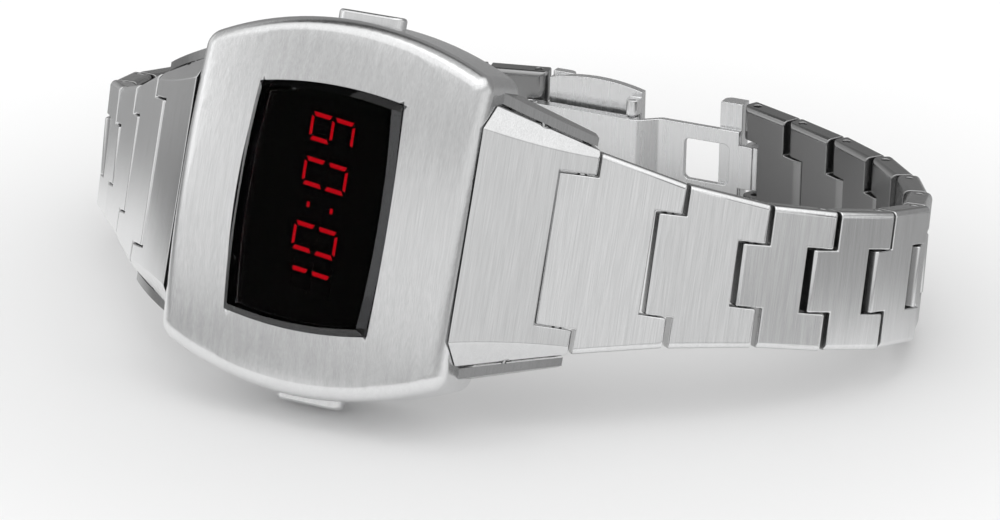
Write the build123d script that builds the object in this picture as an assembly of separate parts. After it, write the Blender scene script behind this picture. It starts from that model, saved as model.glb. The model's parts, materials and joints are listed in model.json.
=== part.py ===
from build123d import *
import os
from math import atan2, cos, degrees, radians, sin

os.makedirs("parts", exist_ok=True)

# A steel wristwatch with a lit digital display, in millimetres and degrees.
# The head's own frame: +X runs from 12 to 6 o'clock, +Y from 9 to 3 o'clock, +Z out through the
# crystal. The last section stands the closed watch on its 9 o'clock side, as it rests on a table.

# Case
case_length = 34.7
case_width = 40.8
case_flank_width = 32.8
case_corner_radius = 2.3
case_floor = -8.9
face_crown = 2.05
face_radius = 110.0
face_edge_radius = 2.0
case_edge_break = 0.8
case_wall = 5.0
pocket_flank_wall = 6.4
pocket_roof = -1.7
pocket_corner_radius = 2.0

# Crystal and display
crystal_length = 17.1
crystal_width = 24.8
crystal_bow_x = 0.7
crystal_bow_y = 0.8
crystal_top = 2.3
crystal_thickness = 2.5
crystal_bevel = 0.75
crystal_fit = 0.06
ledge_width = 0.9
gasket_thickness = 0.3
display_thickness = 0.9
board_thickness = 0.8
inner_fit = 0.15

# Digits, from the 12 o'clock side: their height runs along X and they read along Y
digit_height = 4.8
digit_width = 3.4
digit_pitch = 5.5
colon_space = 0.9
digit_slant_share = 0.1
segment_width = 0.34
segment_gap = 0.16
segment_height = 0.15
colon_half_spread = 1.1
digits_offset_x = 0.0
digits_offset_y = 1.2

# Battery
battery_radius = 5.8
battery_height = 3.6
strap_thickness = 0.2
strap_width = 3.0
strap_length = 17.0

# Case back
back_thickness = 1.9
back_inset = 2.3
back_spigot = 0.8
back_edge_break = 0.6
back_gasket_thickness = 0.3
gasket_rebate = 0.7
back_screw_radius = 0.7
back_screw_head_radius = 1.1
back_screw_head_height = 0.6
back_screw_length = 3.0
back_screw_inset = 2.0
screw_slot_width = 0.25
screw_slot_depth = 0.25
spigot_wall = 1.0
module_screw_length = 2.2
module_screw_x = 7.4

# Buttons
button_length = 8.0
button_thickness = 2.5
button_height = 3.0
button_proud = 1.0
button_fit = 0.06
button_edge_round = 0.4
button_level = -5.6
button_travel = 0.9
button_recess_depth = 3.4
button_spring_bore_radius = 0.95
button_spring_bore_depth = 1.3
stem_radius = 0.5
stem_end_reach = 1.6
button_room_depth = 3.2
button_room_width = 3.2
clip_thickness = 0.25
clip_radius = 1.1
seal_radius = 0.95
seal_thickness = 0.5
spring_wire_radius = 0.11
spring_radius = 0.78
spring_height = 1.15
spring_turns = 3.0

# Bracelet
link_thickness = 2.9
link_pitch = 7.8
first_pitch = 10.0
second_pitch = 9.5
link_half_width = 7.65
end_link_tip_half_width = 10.9
first_tip_half_width = 8.9
second_tip_half_width = 7.8
first_tongue_half_width = 8.15
second_tongue_half_width = 5.46
tongue_half_width = 3.39
ear_reach = 1.3
tongue_reach = 1.3
first_tongue_reach = 2.7
end_gap = 0.45
side_gap = 0.18
pin_radius = 0.5
pin_play = 0.2
pin_recess = 0.35
press_fit = 0.01
inner_round = 1.25
outer_round = 0.35
long_edge_round = 0.75

# End links and lugs
end_link_tip_x = 27.3
end_link_tip_z = -9.8
end_link_tip_slope = 46.7
end_link_root_z = -0.45
end_link_root_half_width = 14.0
end_link_root_gap = 0.08
end_link_inner_z = -8.4
end_link_crown_half_width = 11.5
end_link_bevel_drop = 2.55
end_link_tip_bevel = 0.7
lug_gap = 0.2
lug_tip_width = 0.9
lug_tip_x = 26.4
lug_root_x = 12.0
lug_root_half_width = 17.2
lug_tip_z = -10.4
lug_root_z = -4.6
lug_under_z = -12.0
bar_radius = 0.75
bar_x = 21.3
bar_z = -6.9
bar_hole_depth = 1.0

# Clasp
cover_length = 13.3
cover_thickness = 1.1
cover_top_z = 0.3
cover_end_half_width = 7.1
cover_middle_half_width = 7.9
leaf_thickness = 0.8
leaf_half_width = 4.3
leaf_top_z = -1.7
blade_gap = 0.1
blade_half_width = 4.4
blade_end_z = -0.6
clasp_knuckle_radius = 0.8
clasp_pin_radius = 0.4
clasp_fit = 0.05
leaf_axis_z = -1.72
blade_axis_z = -2.55
hinge_side_gap = 0.25
hinge_lug_width = 1.9
ramp_inset = 1.1
ramp_length = 2.4
end_piece_length = 2.85
end_piece_round = 0.9
end_knuckle_radius = 1.25
blade_knuckle_half_width = 2.7
window_length = 5.8
window_half_width = 2.6
window_end_reach = 3.0
window_round = 0.7
stud_radius = 0.65
stud_head_radius = 0.95
stud_head_height = 0.35
stud_x = 6.5
stud_top_z = -0.95
stud_play = 0.35
socket_wall = 0.6
socket_height = 0.7

# One overrun serves all cuts, and one radius finds an edge by its middle
overrun = 1.0
pick_radius = 0.02

# How the closed bracelet lies: each link's heading below the head's level, and how much further than
# the link before it leans it stands up, both counted outward from the head
six_headings = [33, 37, 44, 60, 80, 106, 118, 131, 146, 153, 156]
twelve_headings = [48, 49, 51, 74, 97, 115, 130, 142, 152, 160, 166]
six_lean_steps = [1.3, 1.9, 1.7, 1.4, 1.1, 2.0, 2.9, 3.0, 3.0, 1.4, 0.1]
twelve_lean_steps = [0.6, 1.6, 2.8, 3.0, 2.3, 2.4, 2.4, 2.0, 1.4, 0.8, 0.5]


def prism(outline, low, high):
    """A flat outline in X and Y, raised from one height to another."""
    return extrude(Pos(0, 0, low) * outline, high - low, dir=(0, 0, 1))


def polygon(*points):
    return make_face(Polyline(*points, close=True))


def side_prism(outline, half_width):
    """An outline drawn in X and Z, widened equally to both sides of Y = 0."""
    return extrude(Plane.XZ * outline, half_width, dir=(0, 1, 0), both=True)


def cross_bar(radius, half_length, x=0.0, z=0.0, y=0.0):
    """A round bar along Y."""
    return Pos(x, y, z) * Rot(90, 0, 0) * Cylinder(radius, 2 * half_length)


def post(radius, low, high, x=0.0, y=0.0):
    """A round bar along Z."""
    return Pos(x, y, (low + high) / 2) * Cylinder(radius, high - low)


def edges_at(shape, *middles):
    """The edges whose middle lies at one of the given points."""
    found = []
    for edge in shape.edges():
        if min((edge.center() - Vector(*middle)).length for middle in middles) < pick_radius:
            found.append(edge)
    return found


def corners_at(face, place):
    """The corners of a flat outline that lie at one point."""
    return [v for v in face.vertices() if abs(v.X - place[0]) + abs(v.Y - place[1]) < pick_radius]


def cushion(half_length, half_width, flank_half_width, corner_radius):
    """The case outline: straight ends joined by bowed sides."""
    corner = (half_length, flank_half_width)
    lines = Line((half_length, -flank_half_width), corner)
    lines += ThreePointArc(corner, (0, half_width), (-half_length, flank_half_width))
    lines += Line((-half_length, flank_half_width), (-half_length, -flank_half_width))
    lines += ThreePointArc((-half_length, -flank_half_width), (0, -half_width), (half_length, -flank_half_width))
    face = make_face(lines)
    return fillet(face.vertices(), corner_radius)


def barrel(half_length, half_width, bow_x, bow_y):
    """The display outline: a rectangle with all four sides bowed outward."""
    right = ThreePointArc((half_length, -half_width), (half_length + bow_x, 0), (half_length, half_width))
    top = ThreePointArc((half_length, half_width), (0, half_width + bow_y), (-half_length, half_width))
    left = ThreePointArc((-half_length, half_width), (-half_length - bow_x, 0), (-half_length, -half_width))
    low = ThreePointArc((-half_length, -half_width), (0, -half_width - bow_y), (half_length, -half_width))
    return make_face(right + top + left + low)


half_length = case_length / 2
half_width = case_width / 2
flank_half = case_flank_width / 2
half_thick = link_thickness / 2
case_outline = cushion(half_length, half_width, flank_half, case_corner_radius)
pocket_outline = cushion(
    half_length - case_wall, half_width - case_wall, flank_half - pocket_flank_wall, pocket_corner_radius
)


# End link
tip_dir = (cos(radians(end_link_tip_slope)), -sin(radians(end_link_tip_slope)))
tip_normal = (-tip_dir[1], tip_dir[0])
end_link_root_x = half_length + end_link_root_gap
root_point = (end_link_root_x, end_link_root_z)
tip_point = (end_link_tip_x, end_link_tip_z)
pin_x = end_link_tip_x - ear_reach * tip_dir[0] - half_thick * tip_normal[0]
pin_z = end_link_tip_z - ear_reach * tip_dir[1] - half_thick * tip_normal[1]
under_tip = (end_link_tip_x - link_thickness * tip_normal[0], end_link_tip_z - link_thickness * tip_normal[1])


def bevel_plane(side):
    """The broad bevel along one side of the end link, facing outward and up."""
    crest = Vector(end_link_root_x, side * end_link_crown_half_width, end_link_root_z)
    foot = Vector(end_link_root_x, side * end_link_root_half_width, end_link_root_z - end_link_bevel_drop)
    tip = Vector(end_link_tip_x, side * (end_link_tip_half_width - end_link_tip_bevel), end_link_tip_z)
    outward = (foot - crest).cross(tip - crest)
    return Plane(origin=crest, x_dir=foot - crest, z_dir=outward * (1 if outward.Z > 0 else -1))


def end_link():
    """The solid piece between two lugs, which the bracelet's first link hinges in."""
    outer = TangentArc(tip_point, root_point, tangent=(-tip_dir[0], -tip_dir[1]))
    rest = Polyline(root_point, (end_link_root_x, end_link_inner_z), under_tip, tip_point)
    silhouette = make_face(outer + rest)
    silhouette = fillet(corners_at(silhouette, under_tip), inner_round)
    silhouette = fillet(corners_at(silhouette, tip_point), outer_round)
    floor_back = first_tongue_reach + end_gap
    plan = polygon(
        (end_link_root_x, -end_link_root_half_width),
        (end_link_tip_x, -end_link_tip_half_width),
        (end_link_tip_x, end_link_tip_half_width),
        (end_link_root_x, end_link_root_half_width),
    )
    body = side_prism(silhouette, end_link_root_half_width + overrun)
    body &= prism(plan, end_link_tip_z - link_thickness - overrun, end_link_root_z + overrun)
    for side in (-1, 1):
        body = split(body, bisect_by=bevel_plane(side), keep=Keep.BOTTOM)
    hinge_frame = Pos(pin_x, 0, pin_z) * Rot(0, end_link_tip_slope, 0)
    notch_half = first_tongue_half_width + side_gap
    notch = hinge_frame * Pos((ear_reach + overrun - floor_back) / 2, 0, 0) * Box(
        ear_reach + overrun + floor_back, 2 * notch_half, link_thickness + 2 * inner_round
    )
    body -= notch
    body -= cross_bar(pin_radius + press_fit, end_link_tip_half_width + overrun, pin_x, pin_z)
    body -= cross_bar(bar_radius + pin_play / 2, end_link_root_half_width, bar_x, bar_z)
    pin = cross_bar(pin_radius, end_link_tip_half_width - pin_recess, pin_x, pin_z)
    return body, pin


six_end, six_end_pin = end_link()


def link(pitch, own_tongue_half, own_reach, start_half, end_half, next_tongue_half):
    """One bracelet link with its hinge at the origin, running along X, outer face up."""
    shoulder = ear_reach + end_gap
    floor = pitch - tongue_reach - end_gap
    ear_end = pitch + ear_reach
    notch_half = next_tongue_half + side_gap
    plan = polygon(
        (-own_reach, -own_tongue_half), (shoulder, -own_tongue_half), (shoulder, -start_half),
        (ear_end, -end_half), (ear_end, -notch_half), (floor, -notch_half),
        (floor, notch_half), (ear_end, notch_half), (ear_end, end_half),
        (shoulder, start_half), (shoulder, own_tongue_half), (-own_reach, own_tongue_half),
    )
    body = prism(plan, -half_thick, half_thick)
    middle_x = (shoulder + ear_end) / 2
    middle_y = (start_half + end_half) / 2
    long_middles = [(middle_x, y, z) for y in (-middle_y, middle_y) for z in (-half_thick, half_thick)]
    body = fillet(edges_at(body, *long_middles), long_edge_round)
    side = make_face(FilletPolyline(
        (-own_reach, -half_thick), (ear_end, -half_thick), (ear_end, half_thick), (-own_reach, half_thick),
        radius=[inner_round, inner_round, outer_round, outer_round], close=True,
    ))
    body &= side_prism(side, start_half + overrun)
    body -= cross_bar(pin_radius + pin_play, own_tongue_half + overrun)
    body -= cross_bar(pin_radius + press_fit, end_half + overrun, pitch)
    pin = cross_bar(pin_radius, end_half - pin_recess, pitch)
    return body, pin


link_one = link(first_pitch, first_tongue_half_width, first_tongue_reach, end_link_tip_half_width,
                first_tip_half_width, second_tongue_half_width)
link_two = link(second_pitch, second_tongue_half_width, tongue_reach, first_tip_half_width,
                second_tip_half_width, tongue_half_width)
link_three = link(link_pitch, tongue_half_width, tongue_reach, second_tip_half_width,
                  link_half_width, tongue_half_width)
link_rest = link(link_pitch, tongue_half_width, tongue_reach, link_half_width,
                 link_half_width, tongue_half_width)


def lay_chain(side, headings, lean_steps):
    """Where each link of one bracelet half lies, and the point that its last pin passes through."""
    base = Rot(0, 0, 0) if side > 0 else Rot(0, 0, 180)
    pitches = [first_pitch, second_pitch] + [link_pitch] * (len(headings) - 2)
    point = Vector(pin_x, 0, pin_z)
    lean = 0
    places = []
    for pitch, heading, step in zip(pitches, headings, lean_steps):
        lean += step
        place = Pos(point.X, point.Y, point.Z) * Rot(side * lean, 0, 0) * Rot(0, heading, 0)
        places.append(base * place)
        point = (place * Pos(pitch, 0, 0)).position
    return places, (base * Pos(point.X, point.Y, point.Z)).position, lean


six_places, six_last_pin, six_lean = lay_chain(1, six_headings, six_lean_steps)
twelve_places, twelve_last_pin, twelve_lean = lay_chain(-1, twelve_headings, twelve_lean_steps)


# Case body
def link_side_y(x):
    """Half width of the end link at a distance from the head's middle."""
    share = (x - end_link_root_x) / (end_link_tip_x - end_link_root_x)
    return end_link_root_half_width + share * (end_link_tip_half_width - end_link_root_half_width)


def lug():
    """One horn beside an end link, on the 6 o'clock end towards 3 o'clock."""
    plan = polygon(
        (lug_root_x, link_side_y(lug_root_x) + lug_gap),
        (lug_tip_x, link_side_y(lug_tip_x) + lug_gap),
        (lug_tip_x, link_side_y(lug_tip_x) + lug_gap + lug_tip_width),
        (lug_root_x, lug_root_half_width),
    )
    tip = (lug_tip_x, lug_tip_z)
    root = (half_length, lug_root_z)
    outer = TangentArc(tip, root, tangent=(-tip_dir[0], -tip_dir[1]))
    under_tip_x = lug_tip_x + (lug_tip_z - lug_under_z) * tip_dir[1]
    lower = case_floor + case_edge_break
    rest = Polyline(
        root, (lug_root_x, lug_root_z - case_edge_break), (lug_root_x, lower),
        (half_length, lower), (under_tip_x, lug_under_z), tip,
    )
    horn = side_prism(make_face(outer + rest), lug_root_half_width + overrun)
    return horn & prism(plan, lug_under_z - overrun, face_crown)


def button_axis_places():
    """The two buttons' places, with X pointing out of the case along the button's stem."""
    return [Rot(0, 0, 90), Rot(0, 0, -90)]


def stadium(length, thickness, low, high):
    """A button's rounded bar, lying along X from one distance to another."""
    face = Plane.YZ * SlotOverall(length, thickness)
    return Pos(low, 0, button_level) * extrude(face, high - low, dir=(1, 0, 0))


def stem(radius, low, high):
    return Pos((low + high) / 2, 0, button_level) * Rot(0, 90, 0) * Cylinder(radius, high - low)


crystal_seat = crystal_top - crystal_thickness - gasket_thickness
pocket_half_width = half_width - case_wall
recess_floor = half_width - button_recess_depth
button_outer = half_width + button_proud
button_inner = button_outer - button_height
clip_outer = pocket_half_width - clip_thickness / 2
back_screw_x = half_length - back_inset - back_screw_inset
back_screw_y = flank_half - back_inset - back_screw_inset
back_screw_places = [(x, y) for x in (-back_screw_x, back_screw_x) for y in (-back_screw_y, back_screw_y)]
back_outer = case_floor - back_thickness
holder_low = case_floor + back_spigot + strap_thickness + 2 * inner_fit


def crystal_outline(grow):
    return barrel(crystal_length / 2 + grow, crystal_width / 2 + grow, crystal_bow_x, crystal_bow_y)


def pocket_grown(grow):
    return cushion(
        half_length - case_wall + grow, pocket_half_width + grow,
        flank_half - pocket_flank_wall + grow, pocket_corner_radius + grow,
    )


def case_body():
    body = prism(case_outline, case_floor, face_crown)
    body &= Pos(0, 0, face_crown - face_radius) * Sphere(face_radius)
    rim = [e for e in body.edges() if e.bounding_box().min.Z > case_floor + overrun]
    body = fillet(rim, face_edge_radius)
    body = chamfer(body.edges().group_by(Axis.Z)[0], case_edge_break)
    horn = lug()
    horns = [horn, mirror(horn, about=Plane.XZ)]
    horns += [Rot(0, 0, 180) * piece for piece in horns]
    for piece in horns:
        body += piece
    body -= prism(pocket_outline, case_floor - overrun, pocket_roof)
    body -= prism(pocket_grown(gasket_rebate), case_floor - overrun, case_floor + back_gasket_thickness)
    body -= prism(crystal_outline(crystal_fit), crystal_seat, face_crown + overrun)
    body -= prism(crystal_outline(-ledge_width), pocket_roof - overrun, crystal_seat + overrun)
    hole_half = link_side_y(bar_x) + lug_gap + bar_hole_depth
    for x in (-bar_x, bar_x):
        body -= cross_bar(bar_radius + press_fit, hole_half, x, bar_z)
    for x, y in back_screw_places:
        body -= post(back_screw_radius + press_fit, case_floor - overrun, case_floor + back_screw_length, x, y)
    for place in button_axis_places():
        body -= place * stadium(
            button_length + 2 * button_fit, button_thickness + 2 * button_fit, recess_floor, button_outer
        )
        body -= place * stem(stem_radius + button_fit, pocket_half_width - overrun, recess_floor + overrun)
        body -= place * stem(seal_radius + button_fit, pocket_half_width - overrun, pocket_half_width + seal_thickness)
    return body


case = case_body()


# What closes the case
crystal = prism(crystal_outline(0), crystal_top - crystal_thickness, crystal_top)
crystal = chamfer(crystal.edges().group_by(Axis.Z)[-1], crystal_bevel)
crystal_gasket = prism(crystal_outline(-press_fit), crystal_seat, crystal_seat + gasket_thickness)
crystal_gasket -= prism(crystal_outline(-ledge_width), crystal_seat - overrun, crystal_top)


def case_back():
    outline = cushion(
        half_length - back_inset, half_width - back_inset, flank_half - back_inset, case_corner_radius
    )
    body = prism(outline, back_outer, case_floor)
    body = chamfer(body.edges().group_by(Axis.Z)[0], back_edge_break)
    body += prism(pocket_grown(-inner_fit), case_floor - overrun, case_floor + back_spigot)
    body -= prism(pocket_grown(-inner_fit - spigot_wall), case_floor, case_floor + back_spigot + overrun)
    for x, y in back_screw_places:
        body -= post(back_screw_radius + press_fit, back_outer - overrun, case_floor + overrun, x, y)
        body -= post(back_screw_head_radius + press_fit, back_outer - overrun,
                     back_outer + back_screw_head_height, x, y)
    return body


def screw(head_radius, head_height, radius, length, place):
    """A slotted screw, driven upward, with its head's face at Z = 0."""
    body = post(head_radius, 0, head_height) + post(radius, 0, head_height + length)
    body -= Box(2 * head_radius + overrun, screw_slot_width, 2 * screw_slot_depth)
    return place * body


back_gasket = prism(pocket_grown(gasket_rebate - press_fit), case_floor, case_floor + back_gasket_thickness)
back_gasket -= prism(pocket_grown(0), case_floor - overrun, case_floor + overrun)
back_screw_shank = back_thickness - back_screw_head_height + back_screw_length - overrun
back_screws = [
    screw(back_screw_head_radius, back_screw_head_height, back_screw_radius, back_screw_shank, Pos(x, y, back_outer))
    for x, y in back_screw_places
]


# Module
display_low = pocket_roof - display_thickness
board_low = display_low - board_thickness
display_panel = prism(pocket_grown(-inner_fit), display_low, pocket_roof)
circuit_board = prism(pocket_grown(-2 * inner_fit), board_low, display_low)
battery_low = holder_low
battery = post(battery_radius, battery_low, battery_low + battery_height)
battery = chamfer(battery.edges().group_by(Axis.Z)[0], inner_fit)
holder = prism(pocket_grown(-inner_fit), holder_low, board_low)
holder -= post(battery_radius + inner_fit, holder_low - overrun, battery_low + battery_height)
for place in button_axis_places():
    holder -= place * Pos(pocket_half_width, 0, button_level) * Box(
        2 * button_room_depth, button_room_width, button_room_width
    )
strap = Pos(0, 0, holder_low - strap_thickness / 2) * Box(strap_length, strap_width, strap_thickness)
module_screws = []
for x in (-module_screw_x, module_screw_x):
    strap -= post(back_screw_radius + press_fit, holder_low - overrun, holder_low + overrun, x)
    holder -= post(back_screw_radius + press_fit, holder_low - overrun, holder_low + module_screw_length, x)
    head_place = Pos(x, 0, holder_low - strap_thickness - back_screw_head_height)
    module_screws.append(screw(back_screw_head_radius, back_screw_head_height, back_screw_radius,
                               module_screw_length - overrun, head_place))


# Digits: each bar is a letter of the usual seven, and each shape lists its lit bars
lit_bars = {"0": "abcdef", "1": "bc", "9": "abcdfg"}
clock_text = "1009"
colon_after = 2


def segment_places():
    """Every bar's middle, whether it stands up, and its cell, in the digit's own upright axes."""
    across = digit_width / 2
    up = digit_height / 4
    return {
        "a": (0, 2 * up, False), "d": (0, -2 * up, False), "g": (0, 0, False),
        "b": (across, up, True), "c": (across, -up, True),
        "e": (-across, -up, True), "f": (-across, up, True),
    }


def segment(reading, height, upright):
    """One bar: reading position runs along Y and height along -X, both leant by the digit's slant."""
    half_bar = (digit_height / 2 if upright else digit_width) / 2 - segment_gap
    half_line = segment_width / 2
    along, over = (half_line, half_bar) if upright else (half_bar, half_line)
    corners = []
    for right, rise in ((-along, -over), (along, -over), (along, over), (-along, over)):
        y = reading + right + digit_slant_share * (height + rise)
        corners.append((digits_offset_x - height - rise, digits_offset_y + y))
    return prism(polygon(*corners), pocket_roof, pocket_roof + segment_height)


lit_segments = []
dark_segments = []
for place_number, figure in enumerate(clock_text):
    cell = (place_number - (len(clock_text) - 1) / 2) * digit_pitch
    cell += colon_space / 2 if place_number >= colon_after else -colon_space / 2
    for name, (right, rise, upright) in segment_places().items():
        bar = segment(cell + right, rise, upright)
        if name in lit_bars[figure]:
            lit_segments.append(bar)
        else:
            dark_segments.append(bar)
for rise in (-colon_half_spread, colon_half_spread):
    y = digits_offset_y + digit_slant_share * rise
    lit_segments.append(post(segment_width / 2, pocket_roof, pocket_roof + segment_height,
                             digits_offset_x - rise, y))


# Buttons
def button():
    body = stadium(button_length, button_thickness, button_inner, button_outer)
    face_edges = [e for e in body.edges() if e.bounding_box().min.X > button_outer - press_fit]
    body = fillet(face_edges, button_edge_round)
    body -= stem(button_spring_bore_radius, button_inner - overrun, button_inner + button_spring_bore_depth)
    body += stem(stem_radius, clip_outer - stem_end_reach, button_inner + button_spring_bore_depth)
    return body


button_body = button()
clip_ring = stem(clip_radius, clip_outer - clip_thickness, clip_outer)
clip_ring -= stem(stem_radius + press_fit, clip_outer - overrun, clip_outer + overrun)
seal_ring = stem(seal_radius, pocket_half_width, pocket_half_width + seal_thickness)
seal_ring -= stem(stem_radius + press_fit, pocket_half_width - overrun, recess_floor)
spring_path = Helix(spring_height / spring_turns, spring_height, spring_radius)
spring_wire = sweep(Plane(spring_path @ 0, z_dir=spring_path % 0) * RegularPolygon(spring_wire_radius, 4), spring_path)
spring = Pos(recess_floor + spring_wire_radius, 0, button_level) * Rot(0, 90, 0) * spring_wire
button_three, button_nine = button_axis_places()


# Clasp, in its own frame: X from the 12 o'clock half's last pin to the 6 o'clock half's, Z outward
six_hinge = (six_places[-1] * Pos(0, overrun, 0)).position - six_places[-1].position
clasp_x = (six_last_pin - twelve_last_pin).normalized()
clasp_z = -(clasp_x.cross(six_hinge)).normalized()
clasp_place = Plane(origin=twelve_last_pin, x_dir=clasp_x, z_dir=clasp_z).location
clasp_span = (six_last_pin - twelve_last_pin).length
shoulder = ear_reach + end_gap
plate_end = cover_length + clasp_knuckle_radius
cover_low = cover_top_z - cover_thickness
leaf_low = leaf_top_z - leaf_thickness
blade_top = leaf_low - blade_gap
blade_low = blade_top - leaf_thickness
blade_end_low = blade_end_z - leaf_thickness
ramp_start = cover_length + ramp_inset


def slab(low_x, high_x, half_y, low_z, high_z):
    return Pos((low_x + high_x) / 2, 0, (low_z + high_z) / 2) * Box(high_x - low_x, 2 * half_y, high_z - low_z)


def cover():
    sides = ThreePointArc(
        (shoulder, cover_end_half_width), ((shoulder + plate_end) / 2, cover_middle_half_width),
        (plate_end, cover_end_half_width),
    )
    outline = sides + Line((plate_end, cover_end_half_width), (plate_end, -cover_end_half_width))
    outline += ThreePointArc(
        (plate_end, -cover_end_half_width), ((shoulder + plate_end) / 2, -cover_middle_half_width),
        (shoulder, -cover_end_half_width),
    )
    outline += Line((shoulder, -cover_end_half_width), (shoulder, cover_end_half_width))
    body = prism(make_face(outline), cover_low, cover_top_z)
    body += slab(0, shoulder + overrun, tongue_half_width, cover_low, cover_top_z)
    body += cross_bar(end_knuckle_radius, tongue_half_width)
    lug_inner = leaf_half_width + hinge_side_gap
    for side in (-1, 1):
        middle = side * (lug_inner + hinge_lug_width / 2)
        body += cross_bar(clasp_knuckle_radius, hinge_lug_width / 2, cover_length, leaf_axis_z, middle)
        body += Pos(0, middle, 0) * slab(
            cover_length - clasp_knuckle_radius, plate_end, hinge_lug_width / 2, leaf_axis_z, cover_top_z
        )
    body += post(stud_radius + stud_play + socket_wall, cover_low - socket_height, cover_low + press_fit, stud_x)
    body -= post(stud_radius + stud_play, cover_low - socket_height - overrun, cover_low, stud_x)
    body -= cross_bar(pin_radius + pin_play, link_half_width)
    body -= cross_bar(clasp_pin_radius + press_fit, link_half_width, cover_length, leaf_axis_z)
    return body


def leaf():
    body = slab(clasp_knuckle_radius + hinge_side_gap, cover_length, leaf_half_width, leaf_low, leaf_top_z)
    body += cross_bar(clasp_knuckle_radius, leaf_half_width, cover_length, leaf_axis_z)
    centre_half = leaf_half_width / 3
    side_half = (leaf_half_width - centre_half - hinge_side_gap) / 2
    for side in (-1, 1):
        middle = side * (leaf_half_width - side_half)
        body += cross_bar(clasp_knuckle_radius, side_half, 0, blade_axis_z, middle)
        body += Pos(0, middle, 0) * slab(0, 2 * clasp_knuckle_radius, side_half, leaf_low, leaf_top_z)
    body -= cross_bar(clasp_pin_radius + clasp_fit, leaf_half_width + overrun, cover_length, leaf_axis_z)
    body -= cross_bar(clasp_pin_radius + press_fit, leaf_half_width + overrun, 0, blade_axis_z)
    body -= post(stud_radius + stud_play, leaf_low - overrun, leaf_top_z + overrun, stud_x)
    return body


def blade():
    ramp_end = ramp_start + ramp_length
    start = clasp_knuckle_radius + hinge_side_gap
    side = make_face(FilletPolyline(
        (start, blade_low), (ramp_start, blade_low), (ramp_end, blade_end_low), (clasp_span, blade_end_low),
        (clasp_span, blade_end_z), (ramp_end, blade_end_z), (ramp_start, blade_top), (start, blade_top),
        radius=[0, leaf_thickness, leaf_thickness, 0, 0, leaf_thickness, leaf_thickness, 0], close=True,
    ))
    neck = clasp_span - shoulder
    plan = polygon(
        (0, -blade_half_width), (neck, -blade_half_width), (neck, -blade_knuckle_half_width),
        (clasp_span, -blade_knuckle_half_width), (clasp_span, blade_knuckle_half_width),
        (neck, blade_knuckle_half_width), (neck, blade_half_width), (0, blade_half_width),
    )
    body = side_prism(side, blade_half_width + overrun) & prism(plan, blade_low - overrun, overrun)
    body += cross_bar(end_knuckle_radius, blade_knuckle_half_width, clasp_span)
    centre_half = leaf_half_width / 3 - hinge_side_gap
    body += cross_bar(clasp_knuckle_radius, centre_half, 0, blade_axis_z)
    body += slab(0, start + overrun, centre_half, blade_low, blade_top)
    window_high = clasp_span - window_end_reach
    window_low = window_high - window_length
    window = polygon(
        (window_low, -window_half_width), (window_high, -window_half_width),
        (window_high, window_half_width), (window_low, window_half_width),
    )
    window = fillet(window.vertices(), window_round)
    body -= prism(window, blade_low - overrun, overrun)
    body -= cross_bar(pin_radius + press_fit, link_half_width, clasp_span)
    body -= cross_bar(clasp_pin_radius + clasp_fit, leaf_half_width, 0, blade_axis_z)
    body -= post(stud_radius + press_fit, blade_low - overrun, blade_top + overrun, stud_x)
    return body


def end_piece(low_x, low_z, round_start):
    """The half link that carries the bracelet's width over the end of a clasp plate."""
    body = slab(low_x, low_x + end_piece_length, link_half_width, low_z, half_thick)
    free_x = low_x if round_start else low_x + end_piece_length
    body = fillet(edges_at(body, (free_x, 0, half_thick)), end_piece_round)
    return body


clasp_cover = cover()
clasp_leaf = leaf()
clasp_blade = blade()
end_piece_twelve = end_piece(shoulder, cover_top_z, False)
end_piece_six = end_piece(clasp_span - shoulder - end_piece_length, blade_end_z, True)
leaf_pin = cross_bar(clasp_pin_radius, leaf_half_width + hinge_side_gap + hinge_lug_width - clasp_fit,
                     cover_length, leaf_axis_z)
blade_pin = cross_bar(clasp_pin_radius, leaf_half_width - clasp_fit, 0, blade_axis_z)
spring_bar = cross_bar(pin_radius, blade_knuckle_half_width - clasp_fit, clasp_span)
stud = post(stud_radius, blade_low, stud_top_z, stud_x)
stud += post(stud_head_radius, blade_low - stud_head_height, blade_low, stud_x)
end_bars = [
    cross_bar(bar_radius, link_side_y(bar_x) + lug_gap + bar_hole_depth - clasp_fit, x, bar_z)
    for x in (-bar_x, bar_x)
]


# Every node, in the head's frame
nodes = {
    "case_body": [case],
    "crystal": [crystal],
    "crystal_gasket": [crystal_gasket],
    "display_panel": [display_panel],
    "lit_segments": lit_segments,
    "dark_segments": dark_segments,
    "circuit_board": [circuit_board],
    "module_holder": [holder],
    "battery_cell": [battery],
    "battery_strap": [strap],
    "module_screws": module_screws,
    "case_back": [case_back()],
    "back_gasket": [back_gasket],
    "back_screws": back_screws,
    "end_link_six": [six_end, six_end_pin],
    "end_link_twelve": [Rot(0, 0, 180) * six_end, Rot(0, 0, 180) * six_end_pin],
    "end_link_bars": end_bars,
    "button_three": [button_three * button_body],
    "button_nine": [button_nine * button_body],
    "button_clip_three": [button_three * clip_ring],
    "button_clip_nine": [button_nine * clip_ring],
    "button_springs": [button_three * spring, button_nine * spring],
    "button_seals": [button_three * seal_ring, button_nine * seal_ring],
    "clasp_cover": [clasp_place * clasp_cover],
    "cover_end_piece": [clasp_place * end_piece_twelve],
    "cover_pin": [clasp_place * leaf_pin],
    "clasp_leaf": [clasp_place * clasp_leaf],
    "leaf_pin": [clasp_place * blade_pin],
    "clasp_blade": [clasp_place * clasp_blade],
    "blade_end_piece": [clasp_place * end_piece_six],
    "blade_stud": [clasp_place * stud],
    "blade_spring_bar": [clasp_place * spring_bar],
}
link_kinds = [link_one, link_two, link_three] + [link_rest] * (len(six_headings) - 3)
for number, place in enumerate(six_places):
    body, pin = link_kinds[number]
    is_last = number == len(six_places) - 1
    nodes[f"link_six_{number + 1:02d}"] = [place * body] if is_last else [place * body, place * pin]
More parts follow.
